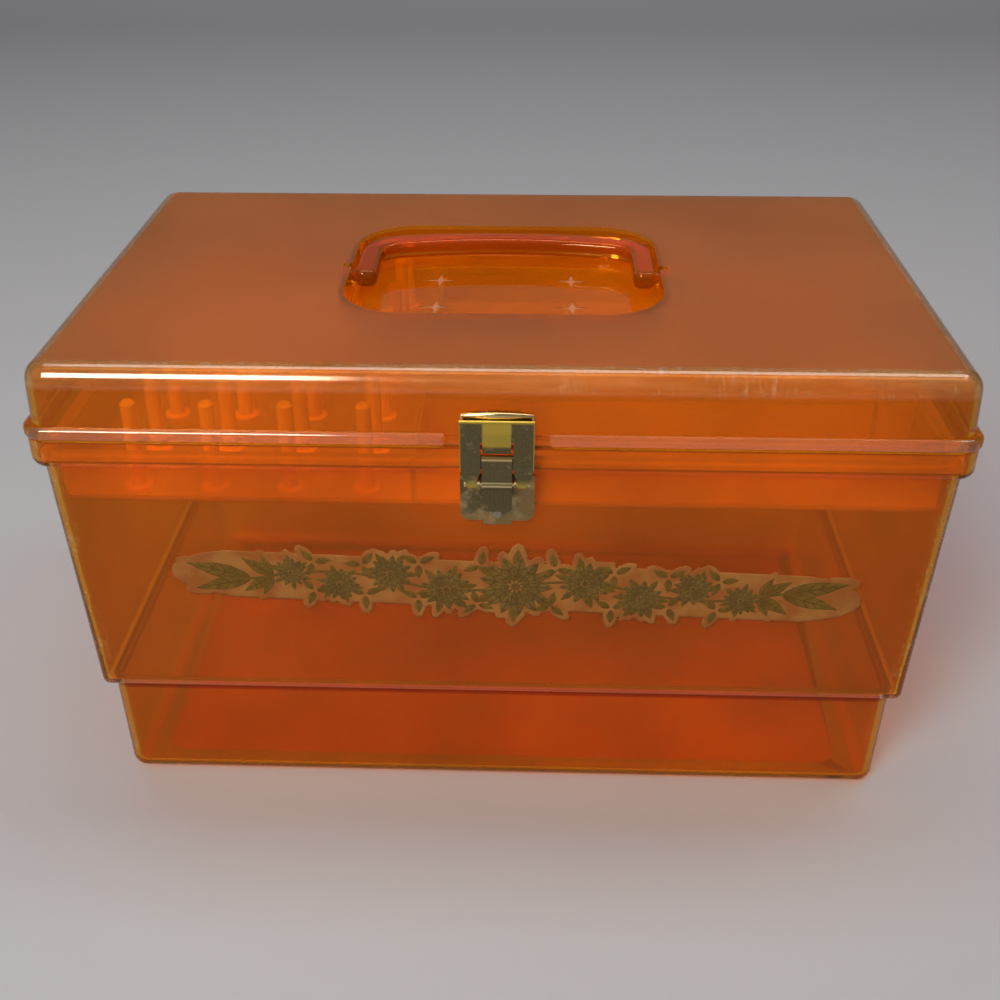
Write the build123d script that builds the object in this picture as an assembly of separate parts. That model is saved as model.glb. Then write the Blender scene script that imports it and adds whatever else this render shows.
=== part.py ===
from build123d import *
import math
import os

# Sewing box of translucent amber plastic: a drafted tub with a rimmed mouth, a shallow lid with a
# sunk handle well, a bail handle that folds flat, a lift-out tray with spool pegs, two brass
# hinges at the back and a brass rocker catch at the front.
# Millimetres, +Z up, front at -Y. The origin is on the floor under the middle of the box.

# Overall size, over the bead that runs round the lid
box_width = 350.0
box_depth = 216.0
box_height = 200.0
lid_height = 28.5
seam_z = box_height - lid_height

# Fits: between moving bodies, under faces that rest on each other, and round a pin
clearance = 0.3
rest_gap = 0.25
running = 0.05

# Tub: a rim band at the mouth, a drafted upper wall, a step, and a narrower drafted foot
tub_wall = 2.4
tub_floor = 3.0
band_height = 12.0
band_inset = 0.7
band_wall = 2.2
band_edge = 3.4
band_draft = 0.3
wall_inset = 3.8
wall_draft = 2.6
step_z = box_height * 0.255
step_inset = 2.9
step_lip = 2.6
foot_draft = 1.4
foot_edge = 6.0
foot_recess = 0.8
foot_ring = 14.0
tub_corner = 8.5
foot_corner = 7.5
foot_inner_corner = 5.5
tub_inner_corner = 6.5
pad_half = 20.5
pad_depth = 0.8

# Lid: a flared wall, a rounded top edge, a half-round bead at its lower edge and a locating lip
lid_wall = 2.4
lid_inset = 2.0
lid_draft = 2.2
lid_corner = 10.0
lid_edge = 8.0
lid_inner_edge = 5.0
bead_height = 5.2
bead_round = 2.0
bead_gap_half = 18.8
lip_depth = 2.0
lip_wall = 1.6
lip_root = 3.0

# Handle well, sunk in the middle of the lid, with a keyway in each end wall
well_width = 130.0
well_depth = 103.0
well_sink = 12.3
well_corner = 26.0
well_draft = 6.0
well_floor_round = 3.0
keyway_depth = 3.4
keyway_wall = 2.0
keyway_snap = 0.4
sink_mark_x = 28.5
sink_mark_y = 15.0
sink_mark_arm = 7.5
sink_mark_waist = 1.7
sink_mark_depth = 0.35

# Handle: a bail with a bowed grip and a round stub at each end
handle_thick = 7.6
handle_arm = 9.6
handle_gap = 1.2
handle_reach = 46.5
handle_bow = 7.5
grip_width = 11.0
handle_corner = 19.0
handle_round = 2.6
handle_end_round = 4.0
stub_radius = 2.5
handle_top_gap = 0.9

# Tray, which hangs by its flange on the ledge inside the rim band
tray_wall = 2.0
tray_floor = 2.0
tray_depth = 22.5
tray_flange = 2.0
tray_gap = 1.1
tray_corner = 6.5
tray_inner_corner = 4.5
tray_draft = wall_draft + 0.4
tray_flange_gap = 0.8
tray_foot_round = 3.0
tray_inner_round = 1.5
peg_section = 133.0
cross_wall_y = -50.0
end_wall_x = 149.0
divider_drop = 1.5

# Spool pegs in a square pattern
peg_pitch = 29.5
peg_columns = 4
peg_radius = 3.2
peg_head_room = 1.8
tray_lift = 4.0
peg_foot_radius = 5.4
peg_foot_height = 1.4
peg_foot_edge = 0.85
peg_top_radius = 2.9
peg_chamfer = 1.0
peg_edge = 12.0

# Brass catch: rocker frame and thumb strip on a pin in a bracket, keeper on the lid
catch_sheet = 0.8
catch_half = 13.5
frame_top_z = seam_z + 11.5
window_half = 6.0
tongue_half = 5.2
tongue_end_z = seam_z - 1.3
tongue_ridge_z = seam_z + 3.1
tongue_proud = 1.2
tongue_back = 0.2
tongue_bend = 0.9
strip_half = 5.5
strip_top_z = seam_z - 3.3
strip_end_z = seam_z - 26.2
strip_ridges = 7
ridge_proud = 0.35
catch_pin_z = seam_z - 14.7
catch_pin_radius = 0.8
curl_wall = 0.85
pin_stand_off = 4.0
leg_shoulder_z = seam_z - 8.0
side_flange = 0.75
side_flange_up = 2.0
side_flange_down = 1.5
frame_lip = 0.6
frame_lip_in = 0.24
window_top = 3.6
window_foot = 1.0
bridge_side = 1.5
bridge_up = 0.6
bracket_half = 13.8
bracket_top_z = seam_z - 12.6
bracket_end_z = seam_z - 32.9
bracket_tab = 1.8
bracket_corner = 3.5
bracket_rivet_up = 3.1
bracket_rivet_step = 6.6
bracket_ear_in = 6.3
bracket_ear_width = 0.8
bracket_tab_corner = 0.8
pin_end = 0.5
pin_head = 0.6
leg_curl_in = 7.4
leg_curl_width = 3.6
keeper_half = 13.2
keeper_bottom_z = seam_z + 1.8
keeper_top_z = seam_z + 14.2
keeper_reach = 2.7
keeper_lip = 2.2
keeper_bow = 1.8
keeper_tilt = 40.0
keeper_bend = 1.1
spring_wire = 0.25
spring_turns = 5
strip_curl = 1.7
strip_knee_z = catch_pin_z + 0.4
strip_lean = 1.0
strip_flare = 0.3
strip_flare_height = 1.2
strip_end_corner = 1.6
rib_side = 1.0
rib_share = 0.45
rib_low = 2.2
rib_high = 0.8
barrel_wall = 0.6
rivet_radius = 1.25
rivet_head = 1.9
rivet_head_height = 0.6
rivet_head_round = 0.42
rivet_tail = 1.6
keeper_rivet_x = 8.7
keeper_rivet_down = 1.6
hole_length = 9.0

# Hinges: two cranked brass leaves on a pin, with a tail on each that sets the open stop
hinge_x = 105.0
hinge_width = 32.0
hinge_sheet = 1.0
hinge_barrel = 2.3
hinge_pin_radius = 1.2
hinge_axis_z = seam_z - 0.5
hinge_leaf = 15.0
hinge_open = 105.0
hinge_tail = 3.6
tail_bar = 1.6
hinge_slot = 0.6
hinge_rivet_x = 9.6
hinge_rivet_down = 8.25
hinge_rivet_up = 6.0
leaf_crank = 1.5
leaf_short = 1.6
leaf_root = 1.5
tail_root = 1.0
hinge_pin_end = 0.4
knuckles = 5

# Printed film on the front wall
film_thick = 0.15
film_length = 268.0
film_height = 35.0
film_x = 7.0
film_z = seam_z * 0.624
film_tilt = 2.0
film_tip = 0.3
film_near = 0.86
film_far = 0.8


def tangent(angle):
    return math.tan(math.radians(angle))


# Where the walls stand, as half widths and half depths
band_z = seam_z - band_height
ledge_z = band_z + tub_wall
rim_z = seam_z - rest_gap
wall_half_x = box_width / 2 - wall_inset
wall_half_y = box_depth / 2 - wall_inset
step_in = (band_z - step_z) * tangent(wall_draft)
foot_half_x = wall_half_x - step_in - step_inset
foot_half_y = wall_half_y - step_in - step_inset
band_half_x = box_width / 2 - band_inset
band_half_y = box_depth / 2 - band_inset
lid_half_x = box_width / 2 - lid_inset
lid_half_y = box_depth / 2 - lid_inset
well_z = box_height - well_sink
handle_z = box_height - handle_top_gap - handle_thick / 2
flange_z = ledge_z + rest_gap
tray_top_z = flange_z + tray_flange
tray_floor_z = tray_top_z - tray_depth + tray_floor
tub_grip = (tub_wall + (ledge_z - band_z) * tangent(wall_draft)) * math.cos(math.radians(wall_draft))


def wall_out(z):
    """Distance of the tub's drafted front wall from the middle plane at a height."""
    return wall_half_y - (band_z - z) * tangent(wall_draft)


def lid_out(z):
    """Distance of the lid's front wall from the middle plane at a height."""
    return lid_half_y - (z - seam_z) * tangent(lid_draft)


def drafted(half_x, half_y, radius, wide_z, narrow_z, draft):
    """Block that shrinks by the draft from a rounded rectangle at wide_z to narrow_z."""
    wide = Plane.XY.offset(wide_z) * RectangleRounded(2 * half_x, 2 * half_y, radius)
    return extrude(wide, amount=narrow_z - wide_z, taper=draft)


def block(x, y, z):
    """Box from three (low, high) pairs."""
    size = [high - low for low, high in (x, y, z)]
    middle = [(high + low) / 2 for low, high in (x, y, z)]
    return Pos(*middle) * Box(*size)


def rod(radius, x0, x1, y, z):
    """Round bar along X."""
    return Pos((x0 + x1) / 2, y, z) * Rot(0, 90, 0) * Cylinder(radius, x1 - x0)


def edges_at(solid, z):
    """Edges that lie whole at one height."""
    return solid.edges().filter_by_position(Axis.Z, z - 1e-3, z + 1e-3)


def rivet_holes(places):
    """Holes for rivets whose places have their local Y along the hole."""
    return [place * Rot(90, 0, 0) * Cylinder(rivet_radius + running, hole_length) for place in places]


def export(shape, name):
    shape.label = name
    export_step(shape, f"parts/{name}.step")


# Tub


def tub_outside():
    foot = drafted(foot_half_x, foot_half_y, foot_corner, step_z, 0, foot_draft)
    foot = fillet(edges_at(foot, 0), foot_edge)
    upper = drafted(wall_half_x, wall_half_y, tub_corner, band_z, step_z, wall_draft)
    upper = fillet(edges_at(upper, step_z), step_lip)
    band = drafted(band_half_x, band_half_y, tub_corner, rim_z, band_z, band_draft)
    band = fillet(edges_at(band, band_z), band_edge)
    return foot + upper + band


def tub_inside():
    inner_step = step_z + tub_wall
    foot = drafted(
        foot_half_x - tub_wall, foot_half_y - tub_wall, foot_inner_corner, step_z, tub_floor, foot_draft
    )
    foot = fillet(edges_at(foot, tub_floor), foot_edge - tub_wall)
    neck = drafted(
        foot_half_x - tub_wall, foot_half_y - tub_wall, foot_inner_corner, inner_step, step_z, 0
    )
    upper = drafted(
        wall_half_x - tub_wall, wall_half_y - tub_wall, tub_inner_corner, ledge_z, inner_step, wall_draft
    )
    mouth = drafted(
        band_half_x - band_wall, band_half_y - band_wall, tub_inner_corner, seam_z, ledge_z, 0
    )
    return foot + neck + upper + mouth


def tub_foot_recess():
    return Pos(0, 0, foot_recess / 2) * extrude(
        Plane.XY.offset(-foot_recess / 2)
        * RectangleRounded(2 * (foot_half_x - foot_ring), 2 * (foot_half_y - foot_ring), tub_corner),
        amount=foot_recess,
    )


def catch_pad():
    """Shallow flat in the rim band behind the catch."""
    return block(
        (-pad_half, pad_half),
        (-band_half_y - 1, -band_half_y + pad_depth),
        (band_z - 1, seam_z + 1),
    )


def base_tub():
    places = bracket_rivet_places() + hinge_rivet_places(tub_hinge_frame)
    shell = tub_outside() - tub_inside() - tub_foot_recess() - catch_pad()
    return shell - rivet_holes(places)


# Lid


def bead_gap():
    """Space that parts the bead at the catch, with room left for the bead's rounded ends."""
    low, high = seam_z - 1, seam_z + bead_height + 1
    front = -box_depth / 2
    back = -lid_half_y + 0.5
    far = bead_gap_half + bead_round
    gap = block((-far, far), (front - 1, back), (low, high))
    for side in (-1, 1):
        gap -= Pos(side * far, front + bead_round, (low + high) / 2) * Cylinder(bead_round, high - low)
        gap -= block(sorted((side * bead_gap_half, side * far)), (front + bead_round, back), (low, high))
    return gap


def lid_bead():
    """Half-round bead round the lid's lower edge, stopped at the catch and the hinges."""
    bead = drafted(box_width / 2, box_depth / 2, tub_corner, seam_z + bead_height, seam_z, 0)
    round_edges = edges_at(bead, seam_z + bead_height) + edges_at(bead, seam_z)
    bead = fillet(round_edges, bead_round) - bead_gap()
    for x in (-hinge_x, hinge_x):
        bead -= block(
            (x - hinge_width / 2 - hinge_slot, x + hinge_width / 2 + hinge_slot),
            (lid_half_y - 0.5, box_depth / 2 + 1),
            (seam_z - 1, seam_z + bead_height + 1),
        )
    return bead


def lid_outside():
    body = drafted(lid_half_x, lid_half_y, lid_corner, seam_z, box_height, lid_draft)
    body = fillet(edges_at(body, box_height), lid_edge)
    return body + lid_bead()


def lid_inside():
    top = box_height - lid_wall
    body = drafted(
        lid_half_x - lid_wall, lid_half_y - lid_wall, lid_corner - lid_wall, seam_z, top, lid_draft
    )
    return fillet(edges_at(body, top), lid_inner_edge)


def lid_lip():
    """Locating lip that drops just inside the rim band."""
    half_x = band_half_x - band_wall - 2 * clearance
    half_y = band_half_y - band_wall - 2 * clearance
    low, high = seam_z - lip_depth, seam_z + lip_root
    ring = drafted(half_x, half_y, tub_inner_corner, high, low, 0)
    return ring - drafted(half_x - lip_wall, half_y - lip_wall, foot_inner_corner, high, low, 0)


def well_solid(grow):
    """The well's space, or with grow its skin: a drafted pan from the lid's top."""
    pan = drafted(
        well_width / 2 + grow,
        well_depth / 2 + grow,
        well_corner + grow,
        box_height,
        well_z - grow,
        well_draft,
    )
    return fillet(edges_at(pan, well_z - grow), well_floor_round + grow)


def keyway(grow):
    """Slot in both end walls: a round seat for the handle's stub and a way in from above."""
    half = stub_radius + running + grow
    reach = well_width / 2 + keyway_depth + grow
    seat = rod(half, -reach, reach, 0, handle_z)
    neck = half - keyway_snap
    way = block((-reach, reach), (-neck, neck), (handle_z, box_height))
    return seat + way


def sink_marks():
    """Four four-pointed stars pressed in the well's floor."""
    marks = []
    for x in (-sink_mark_x, sink_mark_x):
        for y in (-sink_mark_y, sink_mark_y):
            points = []
            for k in range(8):
                r = sink_mark_arm if k % 2 == 0 else sink_mark_waist
                a = math.radians(45 * k)
                points.append((x + r * math.cos(a), y + r * math.sin(a)))
            star = make_face(Polyline(*points, close=True))
            marks.append(Pos(0, 0, well_z - sink_mark_depth) * extrude(star, amount=2 * sink_mark_depth))
    return marks


def lid():
    skin = well_solid(lid_wall)
    boss = keyway(keyway_wall) & block(
        (-box_width / 2, box_width / 2), (-box_depth / 2, box_depth / 2), (0, box_height - lid_wall / 2)
    )
    shell = lid_outside() - lid_inside() + lid_lip()
    shell = shell + skin + boss - well_solid(0) - keyway(0)
    places = keeper_rivet_places() + hinge_rivet_places(lid_hinge_frame)
    return shell - sink_marks() - rivet_holes(places)


# Handle


def handle_outline(inset, reach, corner):
    """Closed bail outline: two straight arms, round corners and a bowed end."""
    half = well_width / 2 - handle_gap - inset
    start = -handle_arm / 2
    end = reach - handle_bow
    edges = Line((half, start), (half, end))
    edges += ThreePointArc((half, end), (0, reach), (-half, end))
    edges += Line((-half, end), (-half, start))
    edges += Line((-half, start), (half, start))
    face = make_face(edges)
    return fillet(face.vertices().group_by(Axis.Y)[-1], corner)


def handle():
    half_thick = handle_thick / 2
    outer = handle_outline(0, handle_reach, handle_corner)
    inner = handle_outline(handle_arm, handle_reach - grip_width, handle_corner - handle_arm)
    inner_half = well_width / 2 - handle_gap - handle_arm
    inner += Pos(0, -handle_arm) * Rectangle(2 * inner_half, 2 * handle_arm)
    outline = outer - inner
    outline = fillet(outline.vertices().group_by(Axis.Y)[0], handle_end_round)
    bail = extrude(outline, amount=half_thick, both=True)
    rims = edges_at(bail, -half_thick) + edges_at(bail, half_thick)
    bail = fillet(rims, handle_round)
    inside = well_width / 2 - handle_gap - handle_arm / 2
    outside = well_width / 2 + keyway_depth - clearance
    for side in (-1, 1):
        ends = sorted((side * inside, side * outside))
        bail += rod(stub_radius, ends[0], ends[1], 0, 0)
    return Pos(0, 0, handle_z) * bail


# Tray


def tray_shell(inset, top, bottom, radius):
    half_x = wall_half_x - tub_wall - tray_gap - inset
    half_y = wall_half_y - tub_wall - tray_gap - inset
    return drafted(half_x, half_y, radius, top, bottom, tray_draft)


def tray_inside_half():
    return (
        wall_half_x - tub_wall - tray_gap - tray_wall,
        wall_half_y - tub_wall - tray_gap - tray_wall,
    )


def tray():
    bottom = tray_floor_z - tray_floor
    flange = Plane.XY.offset(flange_z) * RectangleRounded(
        2 * (band_half_x - band_wall - tray_flange_gap),
        2 * (band_half_y - band_wall - tray_flange_gap),
        foot_inner_corner,
    )
    outside = tray_shell(0, tray_top_z, bottom, tray_corner)
    outside = fillet(edges_at(outside, bottom), tray_foot_round)
    inside = tray_shell(tray_wall, tray_top_z, tray_floor_z, tray_inner_corner)
    inside = fillet(edges_at(inside, tray_floor_z), tray_inner_round)
    shell = outside + extrude(flange, amount=tray_flange) - inside
    top = tray_top_z - divider_drop
    half_x, half_y = tray_inside_half()
    left = -half_x + peg_section
    walls = [
        ((left, left + tray_wall), (-half_y - 1, half_y + 1)),
        ((left, half_x + 1), (cross_wall_y - tray_wall / 2, cross_wall_y + tray_wall / 2)),
        ((end_wall_x, end_wall_x + tray_wall), (cross_wall_y, half_y + 1)),
        ((left, end_wall_x + 1), (-cross_wall_y - tray_wall / 2, -cross_wall_y + tray_wall / 2)),
    ]
    limit = tray_shell(tray_wall / 2, tray_top_z, bottom + tray_floor / 4, tray_inner_corner + tray_wall / 2)
    for x, y in walls:
        shell += block(x, y, (tray_floor_z - tray_floor / 2, top)) & limit
    return shell


def peg_places():
    """As many rows as the tray's depth takes, in columns from its left end."""
    half_x, half_y = tray_inside_half()
    rows = int(2 * (half_y - peg_foot_radius) / peg_pitch) + 1
    first_x = -half_x + peg_edge + peg_pitch / 2
    first_y = -peg_pitch * (rows - 1) / 2
    for i in range(peg_columns):
        for j in range(rows):
            yield first_x + i * peg_pitch, first_y + j * peg_pitch


def spool_pegs():
    """Turned pegs with a round foot, all alike."""
    top = well_z - lid_wall - tray_lift - peg_head_room - tray_floor_z
    profile = Polyline(
        (0, 0),
        (peg_foot_radius, 0),
        (peg_foot_radius, peg_foot_edge),
        (peg_radius, peg_foot_height),
        (peg_top_radius, top - peg_chamfer),
        (peg_top_radius - peg_chamfer, top),
        (0, top),
        close=True,
    )
    peg = revolve(make_face(Plane.XZ * profile), Axis.Z)
    return Compound(children=[Pos(x, y, tray_floor_z) * peg for x, y in peg_places()])


# Catch at the front

pin_out = wall_out(catch_pin_z) + pin_stand_off
curl_radius = catch_pin_radius + running + curl_wall
frame_out = pin_out + curl_radius
fork_z = catch_pin_z + curl_radius + clearance
spring_radius = catch_pin_radius + 2 * running + spring_wire
spring_space = spring_radius + spring_wire + clearance


def wall_place(x, z):
    """Frame on the tub's front wall: local -Y is the wall's outward normal."""
    return Location((x, -wall_out(z), z), (wall_draft, 0, 0))


def lid_place(x, z):
    return Location((x, -lid_out(z), z), (-lid_draft, 0, 0))


def bracket_rivet_places():
    low = bracket_end_z + bracket_rivet_up
    return [wall_place(0, low), wall_place(0, low + bracket_rivet_step)]


def keeper_rivet_places():
    z = (keeper_bottom_z + keeper_top_z) / 2 - keeper_rivet_down
    return [lid_place(-keeper_rivet_x, z), lid_place(keeper_rivet_x, z)]


def rivet(place, sheet, wall):
    """Round-headed tubular rivet: head outside the sheet, clinched tail inside the wall."""
    head = Pos(0, -sheet - rivet_head_height / 2, 0) * Rot(90, 0, 0)
    head = head * Cylinder(rivet_head, rivet_head_height)
    head = fillet(head.edges().sort_by(Axis.Y)[0], rivet_head_round)
    shank = Pos(0, (wall - sheet) / 2, 0) * Rot(90, 0, 0) * Cylinder(rivet_radius, sheet + wall)
    tail = Pos(0, wall + rivet_head_height / 2, 0) * Rot(90, 0, 0)
    tail = tail * Cylinder(rivet_tail, rivet_head_height)
    return place * (head + shank + tail)


def front_sheet(outline, out, thick):
    """Sheet parallel to the front: an outline in X and Z with its outer face at out."""
    return extrude(Plane((0, -out, 0), x_dir=(1, 0, 0), z_dir=(0, -1, 0)) * outline, amount=-thick)


def latch_bracket():
    middle_z = (bracket_top_z + bracket_end_z) / 2
    height = bracket_top_z - bracket_end_z
    place = wall_place(0, middle_z)
    plate = block((-bracket_half, bracket_half), (-catch_sheet, 0), (-height / 2, height / 2))
    low = plate.edges().filter_by(Axis.Y).group_by(Axis.Z)[0]
    plate = fillet(low, bracket_corner)
    tab = block(
        (-strip_half, strip_half), (-catch_sheet, 0), (-height / 2 - bracket_tab, -height / 2 + 1)
    )
    plate += fillet(tab.edges().filter_by(Axis.Y).group_by(Axis.Z)[0], bracket_tab_corner)
    plate = place * plate
    for side in (-1, 1):
        ends = sorted((side * bracket_ear_in, side * (bracket_ear_in + bracket_ear_width)))
        ear = rod(curl_radius, ends[0], ends[1], -pin_out, catch_pin_z)
        root_y = -wall_out(bracket_top_z) - catch_sheet / 2
        ear += block(ends, (-pin_out, root_y), (catch_pin_z - curl_radius, catch_pin_z + curl_radius))
        plate += ear
    plate -= rod(catch_pin_radius + running, -bracket_half, bracket_half, -pin_out, catch_pin_z)
    return plate - rivet_holes(bracket_rivet_places())


def latch_pin():
    end = leg_curl_in + leg_curl_width + pin_end
    pin = rod(catch_pin_radius, -end, end, -pin_out, catch_pin_z)
    for side in (-1, 1):
        ends = sorted((side * end, side * (end + pin_head)))
        pin += rod(catch_pin_radius + pin_end, ends[0], ends[1], -pin_out, catch_pin_z)
    return pin


def latch_frame():
    """Rocker plate: two legs, a top with a rolled lip, and a tongue with the catching ridge."""
    outline = Polyline(
        (-catch_half, frame_top_z),
        (catch_half, frame_top_z),
        (catch_half, leg_shoulder_z),
        (leg_curl_in + leg_curl_width, catch_pin_z),
        (leg_curl_in, catch_pin_z),
        (leg_curl_in, fork_z),
        (window_half, leg_shoulder_z - window_foot),
        (window_half, tongue_ridge_z + window_top),
        (-window_half, tongue_ridge_z + window_top),
        (-window_half, leg_shoulder_z - window_foot),
        (-leg_curl_in, fork_z),
        (-leg_curl_in, catch_pin_z),
        (-leg_curl_in - leg_curl_width, catch_pin_z),
        (-catch_half, leg_shoulder_z),
        close=True,
    )
    frame = front_sheet(make_face(outline), frame_out, catch_sheet)
    for side in (-1, 1):
        ends = sorted((side * (catch_half - catch_sheet), side * catch_half))
        frame += block(
            ends,
            (-frame_out, -frame_out + side_flange + catch_sheet),
            (leg_shoulder_z + side_flange_up, frame_top_z - side_flange_down),
        )
        ends = sorted((side * leg_curl_in, side * (leg_curl_in + leg_curl_width)))
        frame += rod(curl_radius, ends[0], ends[1], -pin_out, catch_pin_z)
    frame += rod(frame_lip, -catch_half, catch_half, -frame_out + frame_lip_in, frame_top_z)
    frame += block(
        (-window_half - bridge_side, window_half + bridge_side),
        (-frame_out + catch_sheet, -frame_out + 2 * catch_sheet),
        (leg_shoulder_z, strip_top_z + bridge_up),
    )
    frame += latch_tongue()
    frame -= rod(catch_pin_radius + running, -catch_half, catch_half, -pin_out, catch_pin_z)
    return frame


def latch_tongue():
    """Tongue that hangs in the frame's window, bent out to a ridge and back to a hooked end."""
    top = frame_top_z - catch_sheet
    side = Polyline(
        (-frame_out, top),
        (-frame_out, tongue_ridge_z + window_top),
        (-frame_out - tongue_proud, tongue_ridge_z),
        (-frame_out + tongue_back, tongue_end_z),
        (-frame_out + tongue_back + catch_sheet, tongue_end_z),
        (-frame_out - tongue_proud + tongue_bend, tongue_ridge_z),
        (-frame_out + catch_sheet, tongue_ridge_z + window_top),
        (-frame_out + catch_sheet, top),
        close=True,
    )
    face = make_face(Plane.YZ * side)
    return Pos(-tongue_half, 0, 0) * extrude(face, amount=2 * tongue_half, dir=(1, 0, 0))


def latch_thumb_strip():
    """Strip in front of the frame's bridge, curled round the pin, with a ribbed end to press."""
    back = -frame_out + catch_sheet
    side = Polyline(
        (-frame_out - strip_flare, strip_top_z),
        (-frame_out, strip_top_z - strip_flare_height),
        (-frame_out, strip_knee_z),
        (-frame_out + strip_lean, strip_end_z),
        (-frame_out + strip_lean + catch_sheet, strip_end_z),
        (back, strip_knee_z),
        (back, strip_top_z),
        close=True,
    )
    face = make_face(Plane.YZ * side)
    strip = Pos(-strip_half, 0, 0) * extrude(face, amount=2 * strip_half, dir=(1, 0, 0))
    ends = strip.edges().filter_by(Axis.Y, tolerance=20).group_by(Axis.Z)[0]
    strip = fillet(ends, strip_end_corner)
    pitch = 2 * (strip_half - rib_side) / (strip_ridges - 1)
    lean = math.degrees(math.atan2(strip_lean, strip_knee_z - strip_end_z))
    low, high = strip_end_z + rib_low, strip_knee_z - rib_high
    for k in range(strip_ridges):
        place = Pos(-strip_half + rib_side + k * pitch, -frame_out + strip_lean / 2, (low + high) / 2)
        strip += place * Rot(lean, 0, 0) * Box(pitch * rib_share, 2 * ridge_proud, high - low)
    barrel = spring_space + barrel_wall
    strip += rod(barrel, -strip_half, strip_half, -pin_out, catch_pin_z)
    inner = strip_half - strip_curl
    strip -= rod(spring_space, -inner, inner, -pin_out, catch_pin_z)
    strip -= block(
        (-inner, inner),
        (-pin_out, -pin_out + 2 * barrel),
        (catch_pin_z - 2 * barrel, catch_pin_z + 2 * barrel),
    )
    strip -= rod(catch_pin_radius + running, -catch_half, catch_half, -pin_out, catch_pin_z)
    return strip


def latch_spring():
    """Torsion spring round the pin inside the strip's barrel, with one leg down to the bracket."""
    half = strip_half - strip_curl - clearance - spring_wire
    path = Helix(pitch=2 * half / spring_turns, height=2 * half, radius=spring_radius, direction=(1, 0, 0))
    start = path @ 0
    coil = sweep(Plane(start, z_dir=path % 0) * Circle(spring_wire), path)
    return Pos(-half, -pin_out, catch_pin_z) * coil


def keeper_curl(half):
    """Section of the top edge: over from the plate, forward, and down into a lip."""
    inner = half - catch_sheet
    side = Polyline(
        (catch_sheet, half),
        (-keeper_reach, half),
        (-keeper_reach, half - keeper_lip),
        (-keeper_reach + catch_sheet, half - keeper_lip),
        (-keeper_reach + catch_sheet, inner),
        (catch_sheet, inner),
        close=True,
    )
    section = make_face(Plane.YZ * side)
    bend = [v for v in section.vertices() if abs(v.Y + keeper_reach) < 0.01 and abs(v.Z - half) < 0.01]
    return fillet(bend, keeper_bend)


def latch_keeper():
    """Plate on the lid whose top edge is bowed and curls forward over the frame's lip."""
    place = lid_place(0, (keeper_bottom_z + keeper_top_z) / 2)
    half = (keeper_top_z - keeper_bottom_z) / 2
    plate = block((-keeper_half, keeper_half), (-catch_sheet, 0), (-half, half - keeper_bow))
    bow_radius = keeper_half * keeper_half / (2 * keeper_bow)
    tilt = math.radians(keeper_tilt)
    centre = (0, -keeper_reach + bow_radius * math.cos(tilt), half - bow_radius * math.sin(tilt))
    axis = Axis(centre, (0, math.sin(tilt), math.cos(tilt)))
    turn = math.degrees(math.asin(keeper_half / bow_radius)) + 2
    curl = revolve(keeper_curl(half).rotate(axis, -turn), axis, 2 * turn)
    space = block((-keeper_half, keeper_half), (-keeper_reach - 1, 0), (-half, half + 1))
    return place * (plate + (curl & space)) - rivet_holes(keeper_rivet_places())


# Hinges at the back

hinge_axis_out = band_half_y + clearance + hinge_barrel
tail_bar_in = hinge_barrel + hinge_tail - tail_bar
tail_margin = math.degrees((hinge_sheet + clearance) / tail_bar_in)
tail_angle = (hinge_open + tail_margin) / 2


def tub_hinge_frame(x, z):
    """Frame on the tub's back wall: local +Y is the outward normal."""
    return Location((x, wall_out(z), z), (-wall_draft, 0, 0))


def lid_hinge_frame(x, z):
    return Location((x, lid_out(z), z), (lid_draft, 0, 0))


def hinge_rivet_places(frame):
    places = []
    below = band_z - hinge_rivet_down
    above = seam_z + bead_height + hinge_rivet_up
    z = below if frame is tub_hinge_frame else above
    for x in (-hinge_x, hinge_x):
        for side in (-1, 1):
            places.append(frame(x + side * hinge_rivet_x, z))
    return places


def hinge_knuckles(which):
    """Spans along X of every second knuckle."""
    pitch = hinge_width / knuckles
    return [
        (-hinge_width / 2 + k * pitch + clearance / 2, -hinge_width / 2 + (k + 1) * pitch - clearance / 2)
        for k in range(knuckles)
        if k % 2 == which
    ]


def leaf_strip(points, x0, x1):
    """Cranked sheet: a side outline in Y and Z carried along X."""
    face = make_face(Plane.YZ * Polyline(*points, close=True))
    return Pos(x0, 0, 0) * extrude(face, amount=x1 - x0, dir=(1, 0, 0))


def hinge_base_leaf(x):
    t = hinge_sheet
    low = band_z - hinge_leaf
    high = band_z - leaf_crank
    top = hinge_axis_z - leaf_short
    back = band_half_y + clearance
    leaf_points = [
        (wall_out(low), low),
        (wall_out(low) + t, low),
        (wall_out(high - t) + t, high - t),
        (back + t, high + t),
        (back + t, top),
        (back, top),
        (back, high + leaf_crank),
        (wall_out(high), high),
    ]
    leaf = leaf_strip(leaf_points, x - hinge_width / 2, x + hinge_width / 2)
    bore = rod(hinge_pin_radius + running, x - hinge_width, x + hinge_width, hinge_axis_out, hinge_axis_z)
    clear = rod(
        hinge_barrel + clearance, x - hinge_width, x + hinge_width, hinge_axis_out, hinge_axis_z
    )
    leaf -= clear
    for low_x, high_x in hinge_knuckles(0):
        leaf += knuckle(x + low_x, x + high_x)
        root = block(
            (x + low_x, x + high_x),
            (back, back + t),
            (hinge_axis_z - hinge_barrel - leaf_root, hinge_axis_z),
        )
        leaf += root
    leaf += stop_tail(x, -tail_angle, hinge_knuckles(0))
    return leaf - bore - rivet_holes(hinge_rivet_places(tub_hinge_frame))


def knuckle(x0, x1):
    return rod(hinge_barrel, x0, x1, hinge_axis_out, hinge_axis_z)


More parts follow.
